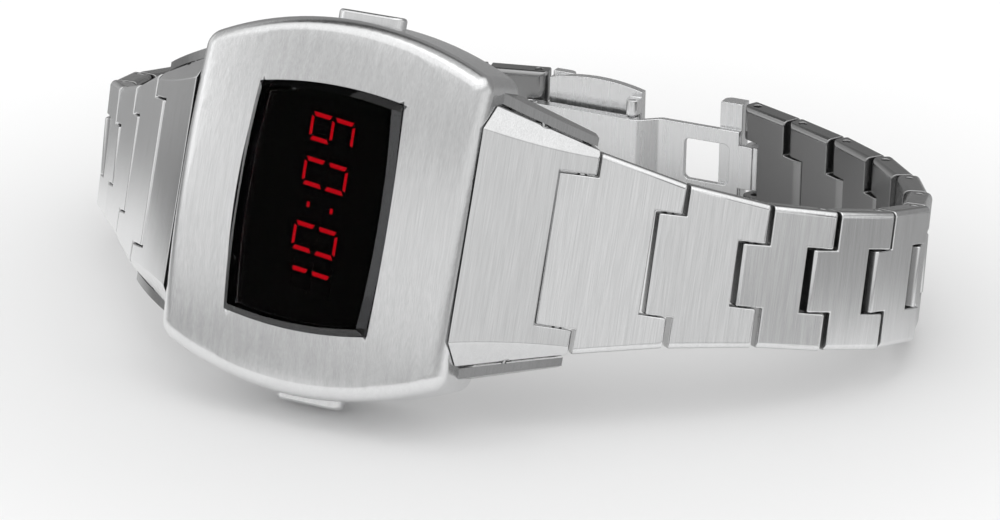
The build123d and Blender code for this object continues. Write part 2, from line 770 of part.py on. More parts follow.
for number, place in enumerate(twelve_places):
    body, pin = link_kinds[number]
    nodes[f"link_twelve_{number + 1:02d}"] = [place * body, place * pin]


# Standing the watch up: it leans back until the lower button and the far links' edges share one level
lower_button = Vector(0, -button_outer, button_level - button_thickness / 2)
far_link = (six_places[-1] * Pos(0, -link_half_width, 0)).position
stand_tilt = degrees(atan2(far_link.Y - lower_button.Y, lower_button.Z - far_link.Z))
upright = Rot(90 - stand_tilt, 0, 0)
whole = Compound([upright * solid for solids in nodes.values() for solid in solids])
box = whole.bounding_box()
stand = Pos(-box.center().X, -box.center().Y, -box.min.Z) * upright
for name, solids in nodes.items():
    shape = stand * (solids[0] if len(solids) == 1 else Compound(solids))
    export_step(shape, f"parts/{name}.step")
print("box", box.size, "tilt", round(stand_tilt, 2), "leans", six_lean, twelve_lean, "span", round(clasp_span, 2))
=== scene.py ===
# %% [markdown]
# # A steel wristwatch with a lit display
# The watch stands on its side, closed, with its link bracelet curled behind the head. Every metal
# piece already has its true size and place in the imported model, so this file is about how things
# look: softened edges, brushed steel, dark glass, lit digits, light and the view.
# The first step loads that model.

# %% Load the watch
import json
from math import cos, pi, radians, sin

import bmesh
import bpy
from mathutils import Matrix, Vector


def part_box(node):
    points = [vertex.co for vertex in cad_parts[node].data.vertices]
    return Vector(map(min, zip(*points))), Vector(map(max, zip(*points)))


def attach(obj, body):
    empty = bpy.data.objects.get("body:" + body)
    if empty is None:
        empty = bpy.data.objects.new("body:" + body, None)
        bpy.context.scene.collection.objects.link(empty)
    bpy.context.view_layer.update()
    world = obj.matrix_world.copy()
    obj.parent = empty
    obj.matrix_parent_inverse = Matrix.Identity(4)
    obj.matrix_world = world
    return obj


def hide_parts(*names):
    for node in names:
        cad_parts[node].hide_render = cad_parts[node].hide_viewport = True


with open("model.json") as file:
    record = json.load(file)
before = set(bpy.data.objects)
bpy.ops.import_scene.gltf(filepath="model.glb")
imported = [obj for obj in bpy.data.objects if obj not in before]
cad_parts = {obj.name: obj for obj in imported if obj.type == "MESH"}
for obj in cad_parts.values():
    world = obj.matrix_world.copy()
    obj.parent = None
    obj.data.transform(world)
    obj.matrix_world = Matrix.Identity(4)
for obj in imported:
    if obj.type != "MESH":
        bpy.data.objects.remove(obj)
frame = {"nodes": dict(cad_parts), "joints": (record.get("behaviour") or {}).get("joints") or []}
nodes = frame["nodes"]
joints = {joint["name"]: joint for joint in frame["joints"]}
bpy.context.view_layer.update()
mm = 0.001
print("pieces:", len(nodes), "joints:", len(joints))

# %% [markdown]
# ## The head's own axes
# A watch is easiest to describe as its wearer sees it: x from 12 to 6 o'clock, y from 9 to 3
# o'clock and z out through the crystal. The two end hinges and the upper button's travel give those
# directions, and the crystal's top gives the height, so nothing here is measured twice.

# %% Find the head's axes
crystal_top = 2.3 * mm
six_end = Vector(joints["six_01_hinge"]["pos_m"])
twelve_end = Vector(joints["twelve_01_hinge"]["pos_m"])
head_x = (six_end - twelve_end).normalized()
head_y = -Vector(joints["button_three_press"]["axis"]).normalized()
head_z = head_x.cross(head_y).normalized()
middle = (six_end + twelve_end) / 2
crystal_reach = max((corner.co - middle).dot(head_z) for corner in nodes["crystal"].data.vertices)
head_origin = middle + head_z * (crystal_reach - crystal_top)


def axes_matrix(x_axis, y_axis, z_axis, origin):
    """A matrix that takes a point in a piece's own axes to its place in the watch."""
    matrix = Matrix((x_axis, y_axis, z_axis)).transposed().to_4x4()
    matrix.translation = origin
    return matrix


head_axes = axes_matrix(head_x, head_y, head_z, head_origin)
print("head origin in mm:", [round(value / mm, 2) for value in head_origin])

# %% [markdown]
# ## The camera
# A product picture is taken from far away with a long lens, so that near and far links keep
# nearly the same size. The view's angle is given from the head: some way to the right, a little
# above, and rolled so that the standing watch looks upright in the picture.

# %% Place the camera
picture_width = 1000
sensor_width = 36.0
view_turn = radians(24.65)
view_rise = radians(3.35)
view_roll = radians(9.39)
focal_pixels = 4218
view_distance = 450 * mm
nearest_seen = 10 * mm
aim_right = 19.39 * mm
aim_up = -5.55 * mm

back = Vector((sin(view_turn) * cos(view_rise), sin(view_rise), cos(view_turn) * cos(view_rise)))
level_right = Vector((cos(view_turn), 0, -sin(view_turn)))
level_up = back.cross(level_right)
right = cos(view_roll) * level_right + sin(view_roll) * level_up
up = cos(view_roll) * level_up - sin(view_roll) * level_right
eye = back * view_distance + right * aim_right + up * aim_up

camera_data = bpy.data.cameras.new("camera")
camera_data.sensor_width = sensor_width
camera_data.lens = focal_pixels / picture_width * sensor_width
camera_data.clip_start = nearest_seen
camera = bpy.data.objects.new("camera", camera_data)
camera.matrix_world = head_axes @ axes_matrix(right, up, back, eye)
bpy.context.scene.collection.objects.link(camera)
bpy.context.scene.camera = camera
print("lens in mm:", round(camera_data.lens, 1))

# %% [markdown]
# ## Writing node trees as formulas
# Brushed metal is mostly arithmetic on noise, and arithmetic is easier to read as a formula than
# as a web of boxes. `Wire` wraps one socket: adding or multiplying two wires adds the Math node
# that does it. `Board` adds every other kind of node to a tree, whether the tree is a material,
# the studio's light or a plan that grows geometry. `Finish` is a board that is a material.

# %% A small language for node trees
class Wire:
    """One output socket of a tree, which can stand in a formula."""

    def __init__(self, board, socket):
        self.board = board
        self.socket = socket

    def maths(self, operation, left, right):
        return self.board.node("ShaderNodeMath", {"operation": operation}, {0: left, 1: right})

    def __add__(self, other):
        return self.maths("ADD", self, other)

    def __radd__(self, other):
        return self.maths("ADD", other, self)

    def __sub__(self, other):
        return self.maths("SUBTRACT", self, other)

    def __rsub__(self, other):
        return self.maths("SUBTRACT", other, self)

    def __mul__(self, other):
        return self.maths("MULTIPLY", self, other)

    def __rmul__(self, other):
        return self.maths("MULTIPLY", other, self)

    def rises(self, low, high):
        """Nought below low, one above high, and a smooth climb between."""
        return self.board.node(
            "ShaderNodeMapRange", {"interpolation_type": "SMOOTHSTEP"},
            {"Value": self, "From Min": low, "From Max": high},
        )


class Board:
    """A node tree that is being filled."""

    def __init__(self, tree):
        self.tree = tree

    def node(self, kind, settings=None, inputs=None, output=0):
        made = self.tree.nodes.new(kind)
        for name, value in (settings or {}).items():
            setattr(made, name, value)
        for socket, value in (inputs or {}).items():
            self.feed(made.inputs[socket], value)
        return Wire(self, made.outputs[output])

    def feed(self, socket, value):
        if isinstance(value, Wire):
            self.tree.links.new(value.socket, socket)
        else:
            socket.default_value = value

    def blend(self, share, first, second):
        """A colour between two colours."""
        return self.node(
            "ShaderNodeMix", {"data_type": "RGBA"},
            {"Factor": share, "A": first, "B": second}, output="Result",
        )


class Finish(Board):
    """A material in the making: its nodes, its surface shader and the sockets that it sets."""

    def __init__(self, name, **constants):
        self.material = bpy.data.materials.new(name)
        self.material.use_nodes = True
        super().__init__(self.material.node_tree)
        self.surface = self.tree.nodes["Principled BSDF"]
        for socket, value in constants.items():
            self.surface.inputs[socket.replace("_", " ")].default_value = value

    def give(self, **wires):
        for socket, wire in wires.items():
            self.feed(self.surface.inputs[socket.replace("_", " ")], wire)
        return self.material


def grey(level, blue=0.0):
    """A colour of one lightness, a little cooler when blue is above zero."""
    return (level * (1 - blue), level, level * (1 + blue), 1)


# %% [markdown]
# ## Brushed steel
# Brushing drags an abrasive belt over the steel in one direction and leaves thousands of fine
# parallel strokes. Here every stroke runs across the band, so each piece carries its own
# coordinates in millimetres, an attribute named `grain`: x along the band, y across it, z
# outward. Noise that is stretched far along y then looks like strokes on every link, however the
# link lies, and it moves with the link when the bracelet opens.
#
# Only the outer face of a link keeps the bright brushed colour. Under it the colour is darkened by height,
# on the link's sides in the gaps and again on its inner side: painted shade where the gaps and the inside
# of the loop lie in shade.

# %% The steel finishes
stroke_width = 0.08
stroke_length = 5.0
stroke_detail = 3.0
stroke_seed = 3.1
stroke_share = 0.75
band_width = 0.7
band_length = 16.0
band_detail = 2.0
band_seed = 7.7
noise_roughness = 0.6
noise_dark = 0.25
noise_bright = 0.75
roughness_spread = 0.03
skin_blend = 0.15
steel_blue = 0.004
outer_skin = 1.05
inner_skin = -1.2
side_shade_lightness = 0.34
inner_shade_lightness = 0.3


def stretched_noise(finish, width, length, detail, seed):
    """Noise whose grains are long along the grain's y and narrow across it, both in millimetres."""
    grain = finish.node("ShaderNodeAttribute", {"attribute_name": "grain"}, output="Vector")
    stretch = finish.node(
        "ShaderNodeMapping", {},
        {"Vector": grain, "Location": (seed, seed, seed), "Scale": (1 / width, 1 / length, 1 / width)},
    )
    return finish.node(
        "ShaderNodeTexNoise", {"noise_dimensions": "3D"},
        {"Vector": stretch, "Scale": 1.0, "Detail": detail, "Roughness": noise_roughness},
    )


def brushed_steel(name, lightness, contrast, roughness, depth, painted_shades=()):
    """Steel with parallel strokes, depth deep in millimetres; painted_shades paint shade by darkening what
    lies under a height.
    """
    finish = Finish(name, Metallic=1.0)
    strokes = stretched_noise(finish, stroke_width, stroke_length, stroke_detail, stroke_seed)
    bands = stretched_noise(finish, band_width, band_length, band_detail, band_seed)
    brushing = stroke_share * strokes + (1 - stroke_share) * bands
    shade = finish.blend(
        brushing.rises(noise_dark, noise_bright),
        grey(lightness - contrast, steel_blue), grey(lightness + contrast, steel_blue),
    )
    # Each pair paints shade: the colour below its height darkens to the given lightness.
    for height, painted_lightness in painted_shades:
        grain = finish.node("ShaderNodeAttribute", {"attribute_name": "grain"}, output="Vector")
        outward = finish.node("ShaderNodeSeparateXYZ", {}, {"Vector": grain}, output="Z")
        shade = finish.blend(outward.rises(height - skin_blend, height + skin_blend), grey(painted_lightness), shade)
    relief = finish.node(
        "ShaderNodeBump", {}, {"Height": strokes, "Strength": 1.0, "Distance": depth * mm}, output="Normal"
    )
    varied = roughness - roughness_spread + 2 * roughness_spread * bands
    return finish.give(Base_Color=shade, Roughness=varied, Normal=relief)


# Painted shade: the link's sides in the gaps and its inner side, inside the loop, are darkened.
link_painted_shades = ((outer_skin, side_shade_lightness), (inner_skin, inner_shade_lightness))
link_steel = brushed_steel(
    "brushed_link_steel", lightness=0.74, contrast=0.09, roughness=0.25, depth=0.006, painted_shades=link_painted_shades
)
clasp_steel = brushed_steel(
    "brushed_clasp_steel", lightness=0.88, contrast=0.05, roughness=0.27, depth=0.004
)
end_steel = brushed_steel("brushed_end_steel", lightness=0.68, contrast=0.08, roughness=0.2, depth=0.005)
face_steel = brushed_steel("brushed_face_steel", lightness=0.74, contrast=0.07, roughness=0.24, depth=0.004)
# Painted reflection: a darker steel for the lugs, which lean away from the soft box and mirror the dark
# studio.
lug_dark_reflection_steel = brushed_steel("brushed_lug_steel", lightness=0.3, contrast=0.03, roughness=0.24, depth=0.004)
turned_steel = brushed_steel("turned_steel", lightness=0.6, contrast=0.04, roughness=0.22, depth=0.001)
steels = (link_steel, clasp_steel, end_steel, face_steel, lug_dark_reflection_steel, turned_steel)
print("steels:", [steel.name for steel in steels])

# %% [markdown]
# ## Softened edges
# No edge on a worn steel watch is truly sharp: each is broken by a tenth of a millimetre or two,
# and that thin rounded line is what catches the light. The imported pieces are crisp, so a copy of
# each is merged into clean faces, gets a Bevel on its sharp edges, and stands for the piece.

# %% Make softened copies
merge_distance = 0.002 * mm
flat_angle = radians(0.05)
crease_angle = radians(28)
edge_steps = 4


def clean_copy(node, name, share_of=None, mend=None):
    """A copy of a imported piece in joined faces.

    share_of gives each sharp edge its share of the softening, and mend may repair the form first.
    """
    mesh = nodes[node].data.copy()
    mesh.materials.clear()
    form = bmesh.new()
    form.from_mesh(mesh)
    bmesh.ops.remove_doubles(form, verts=form.verts, dist=merge_distance)
    if mend:
        mend(form)
    bmesh.ops.dissolve_limit(form, angle_limit=flat_angle, verts=form.verts, edges=form.edges)
    weight = form.edges.layers.float.new("bevel_weight_edge")
    for face in form.faces:
        face.smooth = True
    for edge in form.edges:
        if edge.is_manifold and edge.calc_face_angle() > crease_angle:
            edge[weight] = share_of(edge) if share_of else 1.0
            edge.smooth = edge[weight] > 0
    form.to_mesh(mesh)
    form.free()
    copy = bpy.data.objects.new(name, mesh)
    bpy.context.scene.collection.objects.link(copy)
    return copy


def island_boxes(node):
    """The lowest and highest corner of every separate part of a node, in the head's axes."""
    form = bmesh.new()
    form.from_mesh(nodes[node].data)
    bmesh.ops.remove_doubles(form, verts=form.verts, dist=merge_distance)
    unseen = set(form.verts)
    boxes = []
    while unseen:
        reached = [unseen.pop()]
        for corner in reached:
            near = {edge.other_vert(corner) for edge in corner.link_edges} & unseen
            unseen -= near
            reached.extend(near)
        places = [head_axes.inverted() @ corner.co for corner in reached]
        low = Vector([min(place[axis] for place in places) for axis in range(3)])
        high = Vector([max(place[axis] for place in places) for axis in range(3)])
        boxes.append((low, high))
    form.free()
    return boxes


def set_grain(piece, axes, offset):
    """Writes each corner's place in the piece's own axes, in millimetres, shifted along the band."""
    grain = piece.data.attributes.new("grain", "FLOAT_VECTOR", "POINT")
    to_own = axes.inverted()
    for corner, value in zip(piece.data.vertices, grain.data):
        own = to_own @ corner.co / mm
        value.vector = (own.x + offset, own.y, own.z)


def softened(node, body, material, axes, edge_width, offset=0.0, share_of=None, mend=None):
    """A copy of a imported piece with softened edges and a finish, which stands for it.

    offset shifts the strokes along the band, in millimetres, so that no two pieces look alike.
    """
    piece = clean_copy(node, node + "_finished", share_of, mend)
    set_grain(piece, axes, offset)
    bevel = piece.modifiers.new("soft_edges", "BEVEL")
    bevel.width = edge_width
    bevel.segments = edge_steps
    bevel.limit_method = "WEIGHT"
    bevel.use_clamp_overlap = False
    weighting = piece.modifiers.new("even_shading", "WEIGHTED_NORMAL")
    weighting.keep_sharp = True
    piece.data.materials.append(material)
    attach(piece, body)
    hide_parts(node)
    return piece


# %% [markdown]
# ## The bracelet
# Twenty-two links, two end links and a folding clasp. A real link is a stepped plate whose tongue
# sits between the next one's ears on a pin. All links could be copies of one form, but this band
# tapers and every link has its own width, so each packed link is finished by itself, in a loop. A
# link's own axes come from its hinge and the next one, and each link takes its strokes from a
# different stretch of the same noise.

# %% Finish the links
link_count = 11
link_edge = 0.16 * mm
grain_step = 41.0


def box_middle(node):
    low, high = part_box(node)
    return (low + high) / 2


loop_middle = (box_middle("case_body") + box_middle("clasp_cover")) / 2


def own_axes(joint_name, next_point):
    """A link's axes: x from its hinge to the next, y along the hinge pin, z out of the bracelet."""
    origin = Vector(joints[joint_name]["pos_m"])
    along = (Vector(next_point) - origin).normalized()
    outward = along.cross(Vector(joints[joint_name]["axis"])).normalized()
    if outward.dot(origin - loop_middle) < 0:
        outward.negate()
    return axes_matrix(along, outward.cross(along), outward, origin)


last_points = {"six": box_middle("blade_spring_bar"), "twelve": joints["cover_hinge"]["pos_m"]}
link_pieces = []
for half, last_point in last_points.items():
    for number in range(1, link_count + 1):
        following = joints.get(f"{half}_{number + 1:02d}_hinge")
        next_point = following["pos_m"] if following else last_point
        axes = own_axes(f"{half}_{number:02d}_hinge", next_point)
        body = f"{half}_{number:02d}"
        offset = number * grain_step
        link_pieces.append(softened("link_" + body, body, link_steel, axes, link_edge, offset))
print("links finished:", len(link_pieces))

# %% Finish the end links
for half in last_points:
    end_link = softened(f"end_link_{half}", "head", end_steel, head_axes, link_edge)
    print(end_link.name, "corners:", len(end_link.data.vertices))

# %% Finish the clasp
clasp_edge = 0.1 * mm
clasp_bodies = {
    "clasp_cover": "cover", "cover_end_piece": "cover", "clasp_leaf": "leaf",
    "clasp_blade": "blade", "blade_end_piece": "blade",
}
clasp_axes = own_axes("cover_hinge", last_points["six"])
for node, body in clasp_bodies.items():
    softened(node, body, clasp_steel, clasp_axes, clasp_edge, grain_step)
print("clasp pieces finished:", len(clasp_bodies))

# %% [markdown]
# ## The face of the case
# The face is a very flat dome, cut from a ball of 110 mm radius. Its imported mesh is exact, but its
# triangles are long needles that end at the crystal's opening, and a bevel would slide along them
# into spikes. So the edge of the opening stays crisp: every edge whose two ends lie on the ball.
# The lugs are thin horns with the same trouble, so their edges stay crisp too.
#
# Each lug holds one end of a spring bar, in a hole that lies close to the lug's front. The packed holes are
# so wide that they break through that front. The real bar ends in a thin pivot and its hole doesn't show,
# so the copy of the case has the four holes closed. The lugs lean away from the soft box and mirror the
# dark studio; a darker steel past the lugs' root paints that dark reflection into their colour.

# %% What is special about the case
dome_radius = 110.0 * mm
dome_crown = 2.05 * mm
dome_centre = head_axes @ Vector((0, 0, dome_crown - dome_radius))
dome_tolerance = 0.004 * mm
lug_start = 12.0 * mm
lug_root = 17.38 * mm
hole_reach = 1.0 * mm
hole_straight = 0.5 * mm
bar_boxes = island_boxes("end_link_bars")
to_head = head_axes.inverted()
print("spring bars:", len(bar_boxes))


def on_dome(corner):
    return abs((corner.co - dome_centre).length - dome_radius) < dome_tolerance


def beside_bar(corner):
    """Whether a corner lies on a spring bar's hole."""
    place = to_head @ corner.co
    middles = [(low + high) / 2 for low, high in bar_boxes]
    return any(Vector((place.x - point.x, place.z - point.z)).length < hole_reach for point in middles)


def among_lugs(corner):
    return abs((to_head @ corner.co).x) > lug_start


def case_share(edge):
    """Nought for an edge of the case that stays crisp, one for any other."""
    crisp = all(map(on_dome, edge.verts)) or all(map(among_lugs, edge.verts))
    return 0.0 if crisp else 1.0


def sideways(corner):
    """How far a corner lies from the middle of the watch, toward 9 or 3 o'clock."""
    return abs((to_head @ corner.co).y)


def close_hole(form, loop):
    """Fills a hole in a lug with three patches: on its inner side, its front and its outer side.

    Three edges of its rim are straight: one up the lug's outer corner, two level ones in the front.
    """
    straight = [edge for edge in loop if edge.calc_length() > hole_straight]
    ends = {edge: sorted(edge.verts, key=sideways) for edge in straight}
    reach = {edge: abs((ends[edge][1].co - ends[edge][0].co).dot(head_y)) for edge in straight}
    upright, *level = sorted(straight, key=reach.get)
    front_corner = max(upright.verts, key=lambda corner: (to_head @ corner.co).z)
    short = min(level, key=lambda edge: sideways(ends[edge][1]))
    inner_bridge = form.edges.new([ends[edge][0] for edge in level])
    outer_bridge = form.edges.new([ends[short][1], front_corner])
    bmesh.ops.edgenet_fill(form, edges=loop + [inner_bridge, outer_bridge])


def close_bar_holes(form):
    """Takes out the walls of the four holes in the lugs and closes what stays open."""
    walls = [face for face in form.faces if all(map(beside_bar, face.verts))]
    bmesh.ops.delete(form, geom=walls, context="FACES")
    open_edges = {edge for edge in form.edges if edge.is_boundary}
    holes = 0
    while open_edges:
        loop = [open_edges.pop()]
        for edge in loop:
            near = {other for corner in edge.verts for other in corner.link_edges} & open_edges
            open_edges -= near
            loop.extend(near)
        close_hole(form, loop)
        holes += 1
    bmesh.ops.recalc_face_normals(form, faces=form.faces)
    still_open = sum(edge.is_boundary for edge in form.edges)
    print("spring bar holes closed:", holes, "open edges left:", still_open)


# %% Finish the case, its back and the buttons
case_edge = 0.07 * mm
button_edge = 0.12 * mm
case = softened(
    "case_body", "head", face_steel, head_axes, case_edge, share_of=case_share, mend=close_bar_holes
)
case.data.materials.append(lug_dark_reflection_steel)
# Past the lugs' root the case takes the darker steel: a painted dark reflection.
for face in case.data.polygons:
    face.material_index = 1 if abs((to_head @ face.center).x) > lug_root else 0
softened("case_back", "head", clasp_steel, head_axes, case_edge)
for side in ("three", "nine"):
    softened(f"button_{side}", f"button_{side}", face_steel, head_axes, button_edge)
print("case faces in lug steel:", sum(face.material_index for face in case.data.polygons))

# %% [markdown]
# ## The crystal
# The crystal is clear mineral glass with a ground bevel, and what makes it black is the dark
# display behind it. Its flat top has a coat that takes the reflections away, while the bevel is
# bare polished glass. So the same piece gets two finishes, told apart by which way a face looks.

# %% Finish the crystal
clear_glass = Finish(
    "bevel_glass", Base_Color=(0.9, 0.93, 1, 1), Roughness=0.03, Transmission_Weight=1.0, IOR=1.5
).material
coated_glass = Finish(
    "coated_glass", Base_Color=(0.95, 0.95, 0.97, 1), Roughness=0.0, Transmission_Weight=1.0, IOR=1.5,
    Specular_Tint=(0.0, 0.0, 0.0, 1),
).material
coat_limit = 0.999
crystal = clean_copy("crystal", "crystal_glass")
crystal.data.materials.append(clear_glass)
crystal.data.materials.append(coated_glass)
for face in crystal.data.polygons:
    face.use_smooth = False
    face.material_index = 1 if abs(face.normal.dot(head_z)) > coat_limit else 0
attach(crystal, "head")
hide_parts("crystal")
print("coated crystal faces:", sum(face.material_index for face in crystal.data.polygons))

# %% [markdown]
# ## Plans that grow geometry
# Lit bars, screws and springs repeat, so each kind is drawn once in a Geometry Nodes tree, with
# its sizes as named inputs, and set on a list of points. A point's `aim` turns its copy. `Plan`
# holds the tree, and `grow` runs it and keeps the result as a plain mesh, because the finished
# watch is handed on as meshes and copies that live only in a tree would be lost.

# %% A board for geometry
class Plan(Board):
    """A Geometry Nodes tree that sets copies of one shape on points; its sizes are named inputs."""

    def __init__(self, name, **sizes):
        super().__init__(bpy.data.node_groups.new(name, "GeometryNodeTree"))
        self.sizes = sizes
        self.identifiers = {}
        self.add_socket("Points", "INPUT", "NodeSocketGeometry")
        self.add_socket("Material", "INPUT", "NodeSocketMaterial")
        for size in sizes:
            self.add_socket(size, "INPUT", "NodeSocketFloat")
        self.add_socket("Copies", "OUTPUT", "NodeSocketGeometry")
        self.entry = self.tree.nodes.new("NodeGroupInput")

    def add_socket(self, name, way, kind):
        socket = self.tree.interface.new_socket(name, in_out=way, socket_type=kind)
        self.identifiers[name] = socket.identifier

    def given(self, name):
        return Wire(self, self.entry.outputs[name])

    def spread(self, shape):
        """Sets the shape on every point, turned by the point's aim, and ends the tree."""
        aim = self.node("GeometryNodeInputNamedAttribute", {"data_type": "FLOAT_VECTOR"}, {"Name": "aim"})
        copies = self.node(
            "GeometryNodeInstanceOnPoints", {},
            {"Points": self.given("Points"), "Instance": shape, "Rotation": aim},
        )
        plain = self.node("GeometryNodeRealizeInstances", {}, {"Geometry": copies})
        dressed = self.node(
            "GeometryNodeSetMaterial", {}, {"Geometry": plain, "Material": self.given("Material")}
        )
        self.feed(self.tree.nodes.new("NodeGroupOutput").inputs["Copies"], dressed)

    def grow(self, name, places, material, body, node, slot, axes=head_axes):
        """Runs the tree on a list of (point, aim) in a piece's axes and keeps a plain mesh."""
        mesh = bpy.data.meshes.new(name + "_points")
        mesh.from_pydata([place for place, aim in places], [], [])
        aims = mesh.attributes.new("aim", "FLOAT_VECTOR", "POINT")
        for value, (place, aim) in zip(aims.data, places):
            value.vector = aim
        seed = bpy.data.objects.new(name + "_seed", mesh)
        bpy.context.scene.collection.objects.link(seed)
        modifier = seed.modifiers.new("plan", "NODES")
        modifier.node_group = self.tree
        modifier[self.identifiers["Material"]] = material
        for size, value in self.sizes.items():
            modifier[self.identifiers[size]] = value
        grown = bpy.data.meshes.new_from_object(seed.evaluated_get(bpy.context.evaluated_depsgraph_get()))
        bpy.data.objects.remove(seed)
        grown.transform(axes)
        grown.attributes.new("grain", "FLOAT_VECTOR", "POINT")
        to_own = axes.inverted()
        for corner, value in zip(grown.vertices, grown.attributes["grain"].data):
            value.vector = to_own @ corner.co / mm
        piece = bpy.data.objects.new(name, grown)
        bpy.context.scene.collection.objects.link(piece)
        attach(piece, body)
        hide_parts(node)
        print(name, "copies:", len(places), "faces:", len(grown.polygons))
        return piece


# %% [markdown]
# ## The lit digits
# The display is the usual one of seven bars. Each bar is a strip with mitred ends, longer on its
# outer side, and the whole row leans a little. Upright bars, level bars and the colon's dots differ
# in size only, so the one plan is run three times.

# %% Draw the digits
display_top = -1.7 * mm
bar_rise = 0.1 * mm
row_shift = -0.2 * mm
row_slant = 0.108
half_digit_width = 1.3 * mm
upright_rise = 1.36 * mm
level_rise = 2.52 * mm
digit_row = (("9", 8.3 * mm), ("0", 3.47 * mm), ("0", -3.5 * mm), ("1", -8.3 * mm))
colon_rise = 1.43 * mm
upright_length = 2.15 * mm
upright_width = 0.44 * mm
level_length = 2.05 * mm
level_width = 0.27 * mm
dot_length = 0.55 * mm
dot_width = 0.28 * mm
lit_bars = {"0": "abcdef", "1": "bc", "9": "abcdfg"}
quarter = pi / 2
bar_places = {
    "a": (0, level_rise, 0), "g": (0, 0, 0), "d": (0, -level_rise, pi),
    "b": (half_digit_width, upright_rise, -quarter), "c": (half_digit_width, -upright_rise, -quarter),
    "f": (-half_digit_width, upright_rise, quarter), "e": (-half_digit_width, -upright_rise, quarter),
}
row_matrix = Matrix((
    (0, -1, 0, row_shift), (1, row_slant, 0, 0), (0, 0, 1, display_top), (0, 0, 0, 1),
))


def bar_plan(name, length, width, mitre):
    """Strips that lie along X with their longer side up, cut from a trapezoid and raised."""
    plan = Plan(name, Length=length, Width=width, Mitre=mitre, Rise=bar_rise)
    outline = plan.node(
        "GeometryNodeCurvePrimitiveQuadrilateral", {"mode": "TRAPEZOID"},
        {"Height": plan.given("Width"), "Bottom Width": plan.given("Length") - plan.given("Mitre"),
         "Top Width": plan.given("Length"), "Offset": 0.0},
    )
    flat = plan.node("GeometryNodeFillCurve", {"mode": "NGONS"}, {"Curve": outline})
    raised = plan.node("GeometryNodeExtrudeMesh", {}, {
        "Mesh": flat, "Offset Scale": plan.given("Rise"), "Individual": False,
    })
    floor_side = plan.node("GeometryNodeFlipFaces", {}, {"Mesh": flat})
    closed = plan.node("GeometryNodeJoinGeometry")
    joint_socket = closed.socket.node.inputs["Geometry"]
    plan.feed(joint_socket, raised)
    plan.feed(joint_socket, floor_side)
    plan.spread(plan.node(
        "GeometryNodeMergeByDistance", {}, {"Geometry": closed, "Distance": merge_distance}
    ))
    return plan


lit_red = Finish(
    "lit_red", Base_Color=(0.02, 0.0, 0.0, 1), Specular_IOR_Level=0.0,
    Emission_Color=(0.42, 0.002, 0.006, 1), Emission_Strength=1.0,
).material
upright_bars = []
level_bars = []
for figure, reading in digit_row:
    for bar in lit_bars[figure]:
        across, rise, turn = bar_places[bar]
        bars = upright_bars if bar in "bcef" else level_bars
        bars.append(((reading + across, rise, 0), (0, 0, turn)))
colon_dots = [((0, rise, 0), (0, 0, 0)) for rise in (colon_rise, -colon_rise)]
row_axes = head_axes @ row_matrix
for name, places, length, width, mitre in (
    ("upright_bars", upright_bars, upright_length, upright_width, upright_width),
    ("level_bars", level_bars, level_length, level_width, level_width),
    ("colon_bars", colon_dots, dot_length, dot_width, 0.0),
):
    plan = bar_plan(name, length, width, mitre)
    plan.grow("lit_" + name, places, lit_red, "head", "lit_segments", "lit_red", row_axes)

# %% [markdown]
# ## Screws and springs
# Four slotted screws hold the case back, a spring bar between each pair of lugs holds an end link,
# and a small spring lifts each button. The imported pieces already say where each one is: one node
# holds all four screws, and the box of each of its separate solids gives a place.

# %% Grow the back screws
round_sides = 36
shank_sides = 24
screw_head = 1.1 * mm
head_height = 0.6 * mm
screw_turns = (0.3, 1.1, 2.0, 2.7)


def standing(plan, kind, sizes, low):
    """A round or square bar whose middle, or whose foot where it is a cone, lies at a height."""
    bar = plan.node(kind, {}, sizes)
    lift = plan.node("ShaderNodeCombineXYZ", {}, {"Z": low})
    return plan.node("GeometryNodeTransform", {}, {"Geometry": bar, "Translation": lift})


def united(plan, *rods):
    """One closed solid from rods that run through each other."""
    union = plan.node("GeometryNodeMeshBoolean", {"operation": "UNION"}, output="Mesh")
    for rod in rods:
        plan.feed(union.socket.node.inputs["Mesh 2"], rod)
    return union


def slotted_screw():
    """A flat head with a bevelled upper edge, a shank and a slot that cuts right across the head."""
    plan = Plan(
        "slotted_screw", Head=screw_head, Edge=0.14 * mm, Height=head_height, Shank=0.7 * mm,
        Length=3.2 * mm, Slot=0.28 * mm, Depth=0.3 * mm,
    )
    head, edge, height, shank_reach, length, slot_width, depth = map(plan.given, plan.sizes)
    crown = standing(plan, "GeometryNodeMeshCone", {
        "Vertices": round_sides, "Radius Bottom": head, "Radius Top": head - edge, "Depth": edge,
    }, height - edge)
    drum = standing(plan, "GeometryNodeMeshCylinder", {
        "Vertices": round_sides, "Radius": head, "Depth": height - edge,
    }, 0.5 * height - 0.5 * edge)
    shank = standing(plan, "GeometryNodeMeshCylinder", {
        "Vertices": shank_sides, "Radius": shank_reach, "Depth": length,
    }, 0.0 - 0.5 * length)
    slot_size = plan.node("ShaderNodeCombineXYZ", {}, {"X": 3.0 * head, "Y": slot_width, "Z": 2.0 * depth})
    slot_bar = standing(plan, "GeometryNodeMeshCube", {"Size": slot_size}, height)
    solid = united(plan, crown, drum, shank)
    slotted = plan.node(
        "GeometryNodeMeshBoolean", {"operation": "DIFFERENCE"}, {"Mesh 1": solid}, output="Mesh"
    )
    plan.feed(slotted.socket.node.inputs["Mesh 2"], slot_bar)
    plan.spread(slotted)
    return plan


screw_places = []
for (low, high), turn in zip(island_boxes("back_screws"), screw_turns):
    spot = ((low.x + high.x) / 2, (low.y + high.y) / 2, low.z + head_height)
    screw_places.append((spot, (pi, 0, turn)))
slotted_screw().grow(
    "slotted_back_screws", screw_places, turned_steel, "head", "back_screws", "plain_steel"
)

# %% Grow the spring bars
barrel_sides = 32
pivot_sides = 24


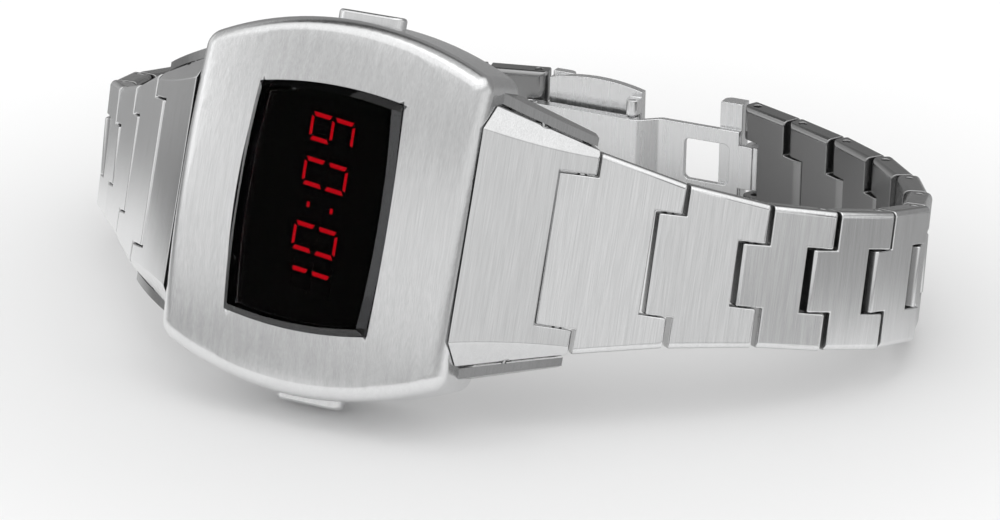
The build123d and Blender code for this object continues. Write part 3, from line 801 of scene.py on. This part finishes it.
def spring_bar(length):
    """A barrel with a thin pivot that reaches out at both ends."""
    plan = Plan("spring_bar", Barrel=0.7 * mm, Pivot=0.25 * mm, Length=length, Tip=1.4 * mm)
    barrel_reach, pivot_reach, whole, tip = map(plan.given, plan.sizes)
    barrel = plan.node("GeometryNodeMeshCylinder", {}, {
        "Vertices": barrel_sides, "Radius": barrel_reach, "Depth": whole - 2.0 * tip,
    })
    pivot = plan.node("GeometryNodeMeshCylinder", {}, {
        "Vertices": pivot_sides, "Radius": pivot_reach, "Depth": whole,
    })
    plan.spread(united(plan, barrel, pivot))
    return plan


bar_spots = [(tuple((low + high) / 2), (quarter, 0, 0)) for low, high in bar_boxes]
spring_bar(min(high.y - low.y for low, high in bar_boxes)).grow(
    "end_spring_bars", bar_spots, turned_steel, "head", "end_link_bars", "plain_steel"
)

# %% Grow the button springs
coil_sides = 28
wire_sides = 8
wire_radius = 0.11 * mm


def coil_spring():
    """A round wire along a spiral that keeps its width, with closed ends."""
    plan = Plan("coil_spring", Turns=3.0, Radius=0.78 * mm, Length=1.1 * mm, Wire=wire_radius)
    turns, radius, length, wire = map(plan.given, plan.sizes)
    coil = plan.node("GeometryNodeCurveSpiral", {}, {
        "Resolution": coil_sides, "Rotations": turns, "Start Radius": radius, "End Radius": radius,
        "Height": length,
    })
    section = plan.node(
        "GeometryNodeCurvePrimitiveCircle", {}, {"Resolution": wire_sides, "Radius": wire}
    )
    plan.spread(plan.node(
        "GeometryNodeCurveToMesh", {}, {"Curve": coil, "Profile Curve": section, "Fill Caps": True}
    ))
    return plan


spring_places = []
for low, high in island_boxes("button_springs"):
    side = 1 if low.y > 0 else -1
    foot = min(low.y, high.y, key=abs) + side * wire_radius
    spot = ((low.x + high.x) / 2, foot, (low.z + high.z) / 2)
    spring_places.append((spot, (-side * quarter, 0, 0)))
coil_spring().grow(
    "button_coil_springs", spring_places, turned_steel, "head", "button_springs", "plain_steel"
)

# %% [markdown]
# ## What lies under the face
# The circuit board, its holder, the battery and the seals are hidden while the watch is closed.
# Each still gets a finish with a fine speckle, as moulded and stamped parts have. The display
# panel, the small pins and the clasp's stud can be seen, but are too small or too dark to need more.

# %% Finish the inner pieces
speckle_size = 0.25 * mm
speckle_detail = 2.0
shade_spread = 0.15
gloss_spread = 0.05


def moulded(name, colour, roughness, **constants):
    """A plain finish whose shade and gloss vary a little in fine speckles."""
    finish = Finish(name, **constants)
    place = finish.node("ShaderNodeTexCoord", output="Object")
    speckle = finish.node(
        "ShaderNodeTexNoise", {},
        {"Vector": place, "Scale": 1 / speckle_size, "Detail": speckle_detail},
    )
    darker, lighter = (
        tuple(share * value for value in colour) + (1,) for share in (1 - shade_spread, 1 + shade_spread)
    )
    varied = roughness - gloss_spread + 2 * gloss_spread * speckle
    return finish.give(Base_Color=finish.blend(speckle, darker, lighter), Roughness=varied)


display_black = moulded("display_black", (0.0008, 0.0008, 0.0008), roughness=0.5, Specular_IOR_Level=0.0)
unlit_bar = moulded("unlit_bar", (0.001, 0.0006, 0.0006), roughness=0.5, Specular_IOR_Level=0.0)
board_green = moulded("board_green", (0.02, 0.16, 0.07), roughness=0.45)
module_grey = moulded("module_plastic", (0.06, 0.06, 0.07), roughness=0.5)
seal_rubber = moulded("seal_rubber", (0.012, 0.012, 0.012), roughness=0.7)
small_steel = moulded("small_steel", (0.58, 0.58, 0.59), roughness=0.24, Metallic=1.0)
finishes = {
    display_black: ("crystal_gasket", "display_panel"),
    unlit_bar: ("dark_segments",),
    board_green: ("circuit_board",),
    module_grey: ("module_holder",),
    seal_rubber: ("back_gasket", "button_seals"),
    small_steel: (
        "battery_cell", "battery_strap", "module_screws", "button_clip_three", "button_clip_nine",
        "cover_pin", "leaf_pin", "blade_spring_bar", "blade_stud",
    ),
}
for material, names in finishes.items():
    for name in names:
        nodes[name].data.materials.clear()
        nodes[name].data.materials.append(material)
print("inner and small pieces finished:", sum(map(len, finishes.values())))

# %% [markdown]
# ## Floor
# The watch stands on white paper, with a soft grey shadow painted on it near the watch, white further out.
# What polished steel mirrors is told apart from what the camera sees: in the steel, the paper is white near
# the watch, dark far in front of it and mid grey behind it. That gives the bright line with a dark one
# above it along the bracelet's lower edge, and keeps the inner sides of the links quiet.

# %% Lay the floor
floor_half = 900 * mm
painted_shadow_start = 45 * mm
painted_shadow_end = 120 * mm
sheet_start = 60 * mm
sheet_end = 125 * mm
rear_full = 35 * mm
floor_white = 0.97
floor_painted_shadow = 0.84
floor_far = 0.2
floor_rear = 0.34
paper_roughness = 0.7
corner_signs = ((-1, -1), (1, -1), (1, 1), (-1, 1))
floor_corners = [(floor_half * x, floor_half * y, 0) for x, y in corner_signs]
floor_mesh = bpy.data.meshes.new("floor")
floor_mesh.from_pydata(floor_corners, [], [(0, 1, 2, 3)])
floor = bpy.data.objects.new("floor", floor_mesh)
bpy.context.scene.collection.objects.link(floor)
paper = Finish("pale_floor", Roughness=paper_roughness)
place = paper.node("ShaderNodeTexCoord", output="Object")
distance = paper.node("ShaderNodeVectorMath", {"operation": "LENGTH"}, {"Vector": place}, output="Value")
depth = paper.node("ShaderNodeSeparateXYZ", {}, {"Vector": place}, output="Y")
mirrored = paper.node("ShaderNodeLightPath", output="Is Glossy Ray")
# Painted shadow: for the camera the paper is soft grey near the watch and white further out.
plain = paper.blend(distance.rises(painted_shadow_start, painted_shadow_end), grey(floor_painted_shadow), grey(floor_white))
in_front = paper.blend(distance.rises(sheet_start, sheet_end), grey(floor_white), grey(floor_far))
in_steel = paper.blend(depth.rises(0.0, rear_full), in_front, grey(floor_rear))
floor_mesh.materials.append(paper.give(Base_Color=paper.blend(mirrored, plain, in_steel)))
print("floor from edge to edge in mm:", round(2 * floor_half / mm))

# %% [markdown]
# ## Light
# Steel has hardly any colour of its own: it shows the room. This room has a large soft box
# overhead, a white backdrop in front with a softer band high up, a grey wall behind, and a dark
# gap above that wall on the left, which the rim of the case and the lugs mirror. The world holds
# the room for what the steel mirrors, plain white for the camera, and an even light for the rest.
# A direction's share toward the right, the back or the top runs from -1 to 1, and each pair of
# numbers below says between which shares one part of the room fades into the next.

# %% Light the studio
even_light = 1.0
backdrop_light = 0.85
overhead_light = 1.2
gap_light = 0.02
rear_light = 0.28
shade_light = 0.55
box_edge = (0.58, 0.7)
gap_edge = (-0.02, 0.16)
gap_right_edge = (0.0, 0.35)
wall_edge = (0.3, 0.7)
band_low_edge = (0.34, 0.48)
band_high_edge = (0.54, 0.64)
world = bpy.data.worlds.new("studio")
bpy.context.scene.world = world
world.use_nodes = True
room = Board(world.node_tree)
direction = room.node("ShaderNodeTexCoord", output="Generated")
toward = room.node("ShaderNodeSeparateXYZ", {}, {"Vector": direction}).socket.node.outputs
toward_right, toward_back, toward_top = (Wire(room, toward[axis]) for axis in "XYZ")
dark_gap = toward_back.rises(*gap_edge) * (1.0 - toward_right.rises(*gap_right_edge))
above = room.blend(dark_gap, grey(overhead_light), grey(gap_light))
soft_band = toward_top.rises(*band_low_edge) * (1.0 - toward_top.rises(*band_high_edge))
in_front = room.blend(soft_band, grey(backdrop_light), grey(shade_light))
around = room.blend(toward_back.rises(*wall_edge), in_front, grey(rear_light))
mirrored_room = room.blend(toward_top.rises(*box_edge), around, above)
path = room.node("ShaderNodeLightPath").socket.node.outputs
glossy = Wire(room, path["Is Glossy Ray"])
straight_view = Wire(room, path["Is Camera Ray"]) + Wire(room, path["Is Transmission Ray"])
lit = room.blend(glossy, grey(even_light), mirrored_room)
background = world.node_tree.nodes["Background"]
room.feed(background.inputs["Color"], room.blend(straight_view, lit, grey(1.0)))
background.inputs["Strength"].default_value = 1.0
print("nodes in the room:", len(world.node_tree.nodes))

# %% [markdown]
# ## Lamps
# The room alone lights the watch evenly from all sides. Two weak area lamps, one overhead and one
# at the left, add soft shadows on the paper. They are large for their distance, as a product
# studio's soft boxes are, because a small lamp would throw a hard shadow.

# %% Hang the lamps
lamp_aim = Vector((0, 0, 20 * mm))
overhead_place = (50 * mm, 50 * mm, 800 * mm)
overhead_size = (800 * mm, 600 * mm)
overhead_watts = 0.8
left_place = (-700 * mm, -350 * mm, 350 * mm)
left_size = (400 * mm, 500 * mm)
left_watts = 0.3


def softbox(name, place, size, power):
    """A rectangular lamp that faces the watch."""
    data = bpy.data.lights.new(name, "AREA")
    data.shape = "RECTANGLE"
    data.size, data.size_y = size
    data.energy = power
    lamp = bpy.data.objects.new(name, data)
    lamp.location = place
    lamp.rotation_euler = (lamp_aim - Vector(place)).to_track_quat("-Z", "Y").to_euler()
    bpy.context.scene.collection.objects.link(lamp)


softbox("overhead", overhead_place, overhead_size, overhead_watts)
softbox("left", left_place, left_size, left_watts)
print("lamps:", len(bpy.data.lights))

# %% [markdown]
# ## Last settings
# The last step sets the view's colour transform to Standard and brings the scene up to date.

# %% Set the colour transform
bpy.context.scene.view_settings.view_transform = "Standard"
bpy.context.view_layer.update()
